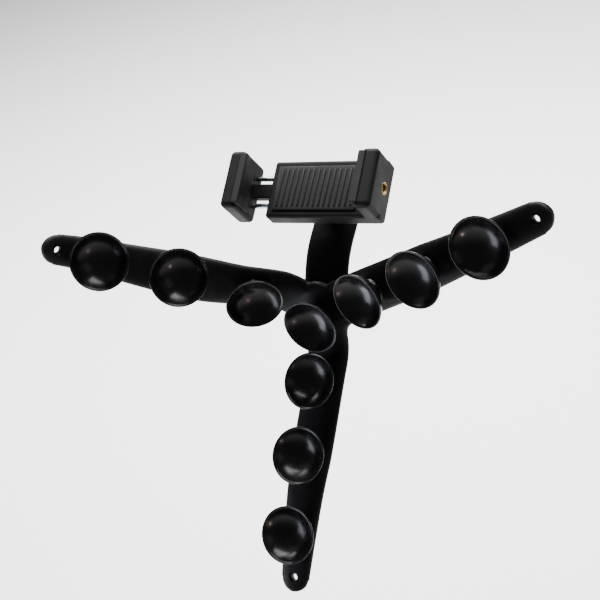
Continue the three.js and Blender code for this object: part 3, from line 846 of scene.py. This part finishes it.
baseLeft = jawIn - clamp["closed"]
baseMiddle = jawIn - clamp["closed"] / 2


def jawRecess(name):
    end = clamp["padHeight"] / 2 + gap
    low = (jawIn - 5, clamp["front"] - 3, -end)
    slab = solidBox(name, low, (jawIn + clamp["padThickness"] + gap, clamp["baseFront"] - gap, end))
    stripSide = jawIn - clamp["hook"] + clamp["padStrip"] + gap
    stripBack = clamp["front"] - clamp["padProud"] + clamp["padDepth"] + gap
    strip = solidBox(name + "Strip", low, (stripSide, stripBack, end))
    return combine(slab, strip, "UNION")


def clampShell():
    baseFront, baseBack, level = clamp["baseFront"], clamp["baseBack"], clamp["rodLevel"]
    halfDepth, halfHeight = clamp["tongueHalf"]
    shell = solidBox("clampShell", (jawIn + gap, clamp["front"], -halfJaw),
                     (jawOut, baseBack + 4, halfJaw), clamp["jawRound"], 6)
    base = solidBox("clampBase", (baseLeft, baseFront, -halfJaw),
                    (jawOut, baseBack + 4, halfJaw), clamp["baseRound"], 4)
    combine(shell, base, "UNION")
    trim = solidBox("backTrim", (-outside, baseBack, -30), (outside, 30, 30))
    combine(shell, trim, "DIFFERENCE")
    combine(shell, jawRecess("fixedRecess"), "DIFFERENCE")
    cavity = solidBox("cavity", (baseLeft + clamp["wall"], baseFront + 2, -clamp["cavityHalf"]),
                      (jawIn - 2.5, baseBack + 2, clamp["cavityHalf"]))
    combine(shell, cavity, "DIFFERENCE")
    for side in (-1, 1):
        low, high = sorted((side * (halfHeight + 0.6), side * clamp["cavityHalf"]))
        channel = solidBox("rodChannel", (jawIn - 3, baseFront + 2, low),
                           (jawOut - 2.6, baseBack + 2, high))
        combine(shell, channel, "DIFFERENCE")
        bore = solidRod("rodBore", clamp["rodRadius"] + gap, baseLeft - 2, baseLeft + 4, "x",
                        (0, level, side * clamp["rodSpread"]))
        combine(shell, bore, "DIFFERENCE")
    slot = solidBox("tongueSlot", (baseLeft - 2, level - halfDepth - gap, -halfHeight - gap),
                    (baseLeft + 4, level + halfDepth + gap, halfHeight + gap))
    combine(shell, slot, "DIFFERENCE")
    bore = solidRod("sideBore", clamp["insertRadius"] + 0.1, jawOut - clamp["insertLength"] - gap,
                    jawOut + 2, "x", (0, clamp["sideInsertLevel"], 0), 64)
    combine(shell, bore, "DIFFERENCE")
    softenEdges(shell, clamp["edge"])
    return shell


def rearCover():
    front, back, middle = clamp["coverFront"], clamp["coverBack"], (baseMiddle, 0, 0)
    plate = solidBox("rearCover", (baseLeft, front - 4, -halfJaw), (jawOut, back, halfJaw),
                     clamp["baseRound"], 4)
    combine(plate, solidBox("frontTrim", (-outside, -10, -30), (outside, front, 30)), "DIFFERENCE")
    boss = solidRod("boss", clamp["bossRadius"], front, clamp["bossBack"], "y", middle, 64)
    combine(plate, boss, "UNION")
    bore = solidRod("bossBore", clamp["insertRadius"] + 0.1, 0, 30, "y", middle, 64)
    combine(plate, bore, "DIFFERENCE")
    for side in (-1, 1):
        for x in clamp["screwColumns"]:
            sink = solidRod("screwSink", clamp["sinkRadius"], back - clamp["sinkDepth"], 30, "y",
                            (x, 0, side * clamp["screwSpread"]), 32)
            combine(plate, sink, "DIFFERENCE")
    softenEdges(plate, clamp["coverEdge"])
    return plate


def mirror(piece):
    piece.data.transform(Matrix.Diagonal((-1, 1, 1, 1)))
    piece.data.flip_normals()
    return piece


def movingJaw():
    level = clamp["rodLevel"]
    halfDepth, halfHeight = clamp["tongueHalf"]
    shell = solidBox("movingJawShell", (jawIn + gap, clamp["front"], -halfJaw),
                     (jawOut, clamp["coverBack"], halfJaw), clamp["jawRound"], 6)
    combine(shell, jawRecess("movingRecess"), "DIFFERENCE")
    mirror(shell)
    tongue = solidBox("tongue", (-jawIn - 2, level - halfDepth, -halfHeight),
                      (4, level + halfDepth, halfHeight), 0.6, 2)
    combine(shell, tongue, "UNION")
    for side in (-1, 1):
        socket = solidRod("rodSocket", clamp["rodRadius"] + 0.05, -jawOut + 3, -jawIn + 2, "x",
                          (0, level, side * clamp["rodSpread"]))
        combine(shell, socket, "DIFFERENCE")
    softenEdges(shell, clamp["edge"])
    return shell


def jawPad(name):
    # an extruded lip section with a raised strip, its edges rounded
    front = clamp["front"] - clamp["padProud"]
    inside = jawIn - clamp["hook"]
    half = clamp["phoneThickness"] / 2
    outline = [(jawIn, clamp["baseFront"] - 0.6), (jawIn, -half - 1), (inside, -half - 1.6),
               (inside, front), (inside + clamp["padStrip"], front),
               (inside + clamp["padStrip"], front + clamp["padDepth"]),
               (jawIn + clamp["padThickness"], front + clamp["padDepth"]),
               (jawIn + clamp["padThickness"], clamp["baseFront"] - 0.6)]
    work = bmesh.new()
    end = clamp["padHeight"] / 2 * mm
    bottom = [work.verts.new((x * mm, y * mm, -end)) for x, y in outline]
    face = work.faces.new(bottom)
    raised = bmesh.ops.extrude_face_region(work, geom=[face])
    bmesh.ops.translate(work, vec=(0, 0, 2 * end),
                        verts=[v for v in raised["geom"] if isinstance(v, bmesh.types.BMVert)])
    bmesh.ops.recalc_face_normals(work, faces=work.faces)
    piece = workObject(name, work)
    softenEdges(piece, clamp["padEdge"], 4)
    return piece


pad = {"margin": 4, "ribs": 15, "ribHalf": 0.7, "ribProud": 0.5, "ribEdge": 0.45, "sheetEdge": 0.35}


def backPad():
    # rubber sheet with raised ribs along the phone
    margin, half = pad["margin"], pad["ribHalf"]
    low = (baseLeft + margin, clamp["phoneThickness"] / 2 + gap, -halfJaw + margin)
    high = (jawIn - margin, clamp["baseFront"] - gap, halfJaw - margin)
    sheet = solidBox("backPadSheet", (low[0], low[1] + pad["ribProud"], low[2]), high,
                     pad["sheetEdge"], 3)
    pitch = (high[0] - low[0] - 6) / (pad["ribs"] - 1)
    for i in range(pad["ribs"]):
        x = low[0] + 3 + pitch * i
        rib = solidBox("padRib", (x - half, low[1], low[2] + 2), (x + half, low[1] + 1, high[2] - 2),
                       pad["ribEdge"], 3)
        combine(sheet, rib, "UNION")
    sharpenFrom(sheet.data, 35)
    return sheet


def threadRidge(pitch, depth):
    def change(radius, height, turn):
        phase = (height / pitch - turn / (2 * math.pi)) % 1
        return depth * abs(2 * phase - 1)
    return change


def insertMesh(name):
    # plain outside, threaded bore, chamfered mouth
    length, radius, bore = clamp["insertLength"], clamp["insertRadius"], clamp["insertBore"]
    rows = 40
    thread = [(bore, length - 0.55 - (length - 0.55) * i / rows) for i in range(rows + 1)]
    profile = [(radius - 0.25, 0)] + [(radius, 0.25), (radius, length - 0.2), (radius - 0.2, length),
                                      (bore + 0.45, length)] + thread
    ridge = threadRidge(clamp["threadPitch"], clamp["threadDepth"])
    return lathe(name, profile, 72, lambda r, h, t: ridge(r, h, t) if abs(r - bore) < 0.01 else 0)


def guideRod(side):
    low = -jawOut + clamp["wall"] + gap
    x = clamp["rodEnd"]
    r, head = clamp["rodRadius"], clamp["rodHead"]
    profile = [(0, low), (r - 0.3, low), (r, low + 0.3), (r, x - 2), (head - 0.2, x - 2),
               (head, x - 1.8), (head, x - 0.3), (head - 0.3, x), (0, x)]
    mesh = lathe(f"guideRod{side}", profile, 40)
    mesh.transform(Matrix.Rotation(math.pi / 2, 4, "Y"))
    mesh.transform(Matrix.Translation((0, clamp["rodLevel"] * mm, side * clamp["rodSpread"] * mm)))
    sharpenFrom(mesh, 40)
    return mesh


spring = {
    "radius": 2.3, "wireRadius": 0.4, "turns": 14,
    "closedTurns": 1.2, "closedPitch": 0.85,  # at each end
    "stepsPerTurn": 26, "around": 10,
    "inset": 3.3, "headInset": 2.3,  # from the base's left face and from the rod's end
}


def springMesh(side):
    # closed coils at both ends, open ones between
    wireRadius, turns, around = spring["wireRadius"], spring["turns"], spring["around"]
    ends, pitch = spring["closedTurns"], spring["closedPitch"]
    low = baseLeft + spring["inset"] + wireRadius
    high = clamp["rodEnd"] - spring["headInset"] - wireRadius
    openPitch = (high - low - 2 * ends * pitch) / (turns - 2 * ends)
    steps = turns * spring["stepsPerTurn"]
    points = []
    for i in range(steps + 1):
        t = turns * i / steps
        if t < ends:
            x = low + t * pitch
        elif t > turns - ends:
            x = high - (turns - t) * pitch
        else:
            x = low + ends * pitch + (t - ends) * openPitch
        turn = 2 * math.pi * t
        outward = Vector((0, math.cos(turn), math.sin(turn)))
        axis = Vector((x, clamp["rodLevel"], side * clamp["rodSpread"]))
        for j in range(around):
            a = 2 * math.pi * j / around
            points.append(axis + Vector((wireRadius * math.sin(a), 0, 0))
                          + outward * (spring["radius"] + wireRadius * math.cos(a)))
    return meshOf(f"spring{side}", points, tubeFaces(steps + 1, around, True, True))


def coverScrew(name, x, z):
    back = clamp["coverBack"]
    profile = [(0, back - 6.4), (0.6, back - 6.4), (1, back - 5.8), (1, back - 1.4), (2, back - 1.4),
               (2, back - 0.5), (1.7, back - 0.2), (0, back - 0.1)]
    screw = bareObject(name, lathe(name, profile, 40))
    for size in ((1.25, 0.22), (0.22, 1.25)):
        cross = solidBox("cross", (-size[0], -size[1], back - 0.9), (size[0], size[1], back + 1))
        combine(screw, cross, "DIFFERENCE")
    screw.data.transform(Matrix.Rotation(-math.pi / 2, 4, "X"))
    screw.data.transform(Matrix.Translation((x * mm, 0, z * mm)))
    sharpenFrom(screw.data, 35)
    return screw


def buildClamp():
    place = inMetres(stations["clamp"])
    made = [
        (clampShell(), "absSparkTextured", "clamp_body", "clamp"),
        (rearCover(), "absSparkTextured", "rear_cover", "clamp"),
        (jawPad("fixedJawPad"), "rubberPadMoulded", "fixed_jaw_pad", "clamp"),
        (backPad(), "rubberPadMoulded", "back_pad", "clamp"),
        (movingJaw(), "absSparkTextured", "moving_jaw", "moving_jaw"),
    ]
    made.append((mirror(jawPad("movingJawPad")), "rubberPadMoulded", "moving_jaw_pad", "moving_jaw"))
    for rowName, side in (("lower", -1), ("upper", 1)):
        for columnName, x in zip(("left", "right"), clamp["screwColumns"]):
            node = f"cover_screw_{rowName}_{columnName}"
            screw = coverScrew(node + "_head", x, side * clamp["screwSpread"])
            made.append((screw, "steelZincPlated", node, "clamp"))
        rod = bareObject(f"{rowName}GuideRod", guideRod(side))
        made.append((rod, "steelZincPlated", f"{rowName}_guide_rod", "moving_jaw"))
    sideInsert = bareObject("sideInsert", insertMesh("sideInsert"))
    sideInsert.data.transform(Matrix.Rotation(math.pi / 2, 4, "Y"))
    sideInsert.data.transform(Matrix.Translation((
        (jawOut - clamp["insertLength"]) * mm, clamp["sideInsertLevel"] * mm, 0)))
    rearInsert = bareObject("rearInsert", insertMesh("rearInsert"))
    rearInsert.data.transform(Matrix.Rotation(-math.pi / 2, 4, "X"))
    rearInsert.data.transform(Matrix.Translation((
        baseMiddle * mm, (clamp["bossBack"] - clamp["insertLength"]) * mm, 0)))
    made += [(sideInsert, "brassTurned", "side_insert", "clamp"),
             (rearInsert, "brassTurned", "rear_insert", "clamp")]
    fitPieces(made, place)
    for rowName, side in (("lower", -1), ("upper", 1)):
        piece = newPiece(f"{rowName}Spring", springMesh(side), "springWireDrawn", place)
        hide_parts(f"{rowName}_spring")
        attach(piece, "clamp")
        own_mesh(piece)


stud = {
    "radius": 3.1, "flangeRadius": 8, "flangeStart": -6.9, "flangeEnd": -4.3,
    "washer": (4.3, 5.3), "washerRadius": 8, "nut": (5.6, 8.4), "nutRadius": 6.4,
    "knobStart": 8.7, "knobRadius": 10, "ribs": 36, "ribDepth": 0.8,
    "threadDepth": 0.4, "bore": 3.4, "tip": 2.5,
}


def studMesh():
    end = layout["standoff"] - clamp["bossBack"]
    low, high = stud["flangeStart"], stud["flangeEnd"]
    rows = 90
    core = stud["radius"] - stud["threadDepth"]
    run = [(core, high + (end - 0.5 - high) * i / rows) for i in range(rows + 1)]
    flange = stud["flangeRadius"]
    profile = [(0, low), (2, low), (flange - 1.2, low + 0.1), (flange - 0.3, low + 0.7),
               (flange, low + 1.3), (flange, high - 0.3), (flange - 0.3, high), (stud["radius"], high)]
    profile += run + [(stud["tip"], end), (stud["tip"], end + 4.2), (stud["tip"] - 0.4, end + 4.6),
                      (0, end + 4.6)]
    ridge = threadRidge(clamp["threadPitch"], stud["threadDepth"])
    mesh = lathe("threadedStud", profile, 64,
                 lambda r, h, t: ridge(r, h, t) if abs(r - core) < 0.01 else 0)
    sharpenFrom(mesh, 45)
    return mesh


def knobMesh():
    # finger ribs round the grip, chamfered at both ends
    end = layout["standoff"] - clamp["bossBack"] - gap
    low, bore, deep = stud["knobStart"], stud["bore"], stud["ribDepth"]
    r = stud["knobRadius"] - deep
    profile = [(bore, low), (r - 1.6, low), (r - 0.9, low + 0.15), (r - 0.3, low + 0.8)]
    profile += [(r, low + 1.2 + (end - low - 2.4) * i / 6) for i in range(7)]
    profile += [(r - 0.3, end - 0.8), (r - 0.9, end - 0.15), (r - 1.6, end), (bore, end)]
    profile += [(bore, end + (low - end) * i / 4) for i in range(1, 5)]

    def ribs(radius, height, turn):
        if radius < r - 0.5:
            return 0
        return deep * max(0, math.cos(stud["ribs"] * turn / 2)) ** 0.5 * (1 if radius >= r else 0.4)
    mesh = lathe("lockKnob", profile, 288, ribs)
    sharpenFrom(mesh, 50)
    return mesh


def buildStud():
    flat, bore = stud["washerRadius"], stud["bore"]
    low, high = stud["washer"]
    washer = lathe("studWasher", [(bore, low), (flat - 0.2, low), (flat, low + 0.2), (flat, high - 0.2),
                                  (flat - 0.2, high), (bore, high), (bore, low)], 64)
    sharpenFrom(washer, 40)
    nut = solidRod("hexNut", stud["nutRadius"], *stud["nut"], "z", sides=6)
    combine(nut, solidRod("nutBore", 3.3, 0, 20, "z"), "DIFFERENCE")
    softenEdges(nut, 0.45, 3)
    pieces = [
        (bareObject("threadedStud", studMesh()), "steelZincPlated", "neck_stud", "neck_upper"),
        (bareObject("studWasher", washer), "steelZincPlated", "neck_washer", "neck_upper"),
        (nut, "steelZincPlated", "stud_nut", "neck_upper"),
        (bareObject("lockKnob", knobMesh()), "absSparkTextured", "lock_knob", "lock_knob"),
    ]
    fitPieces(pieces, inMetres(stations["neck_end"]))


placeCamera()
lightStudio()
layFloor()
print("camera, light and floor placed")
materials = makeMaterials()
stations, spans = buildLayout()
buildStraps()
print("straps and core wires lofted")
buildHub()
buildCups()
print("hub and cups made")
buildClamp()
buildStud()
print("clamp and stud made")
